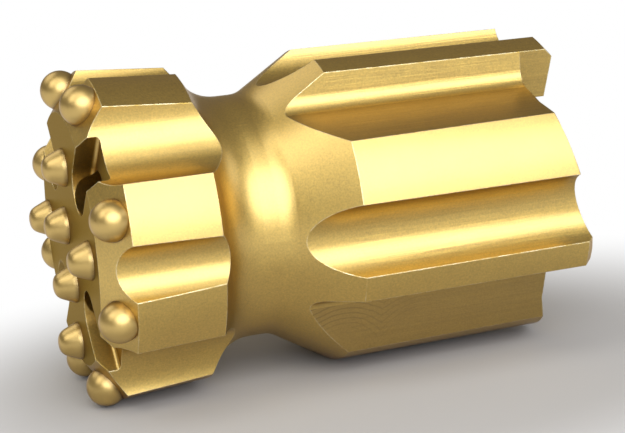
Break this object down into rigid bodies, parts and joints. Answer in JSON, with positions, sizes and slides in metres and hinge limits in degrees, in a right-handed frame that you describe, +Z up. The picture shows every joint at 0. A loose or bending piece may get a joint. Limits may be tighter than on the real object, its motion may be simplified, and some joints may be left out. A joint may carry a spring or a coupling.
{
  "type": "button drill bit",
  "caption": "Top-hammer rock drill bit with hard buttons on a flat face, fluted head and a full-width fluted skirt with pull-back teeth.",
  "frame": {"origin": "middle of the underside of the bit's bounding box as it lies on its side, on the surface it rests on", "axes": "+X along the drilling axis from the cutting face to the thread mouth, +Z up, with a narrow flute of the head at the bottom"},
  "size_m": [0.1382, 0.0856, 0.0856],
  "materials": {
    "body_steel": "heat-treated steel under a metallic gold coating",
    "button_carbide": "hard metal buttons under the same metallic gold coating"
  },
  "bodies": {
    "root": {"bit_body": "body_steel", "gauge_button_1": "button_carbide", "gauge_button_2": "button_carbide", "gauge_button_3": "button_carbide", "gauge_button_4": "button_carbide", "gauge_button_5": "button_carbide", "gauge_button_6": "button_carbide", "gauge_button_7": "button_carbide", "gauge_button_8": "button_carbide", "front_button_1": "button_carbide", "front_button_2": "button_carbide", "front_button_3": "button_carbide", "front_button_4": "button_carbide", "front_button_5": "button_carbide", "front_button_6": "button_carbide"}
  },
  "joints": []
}
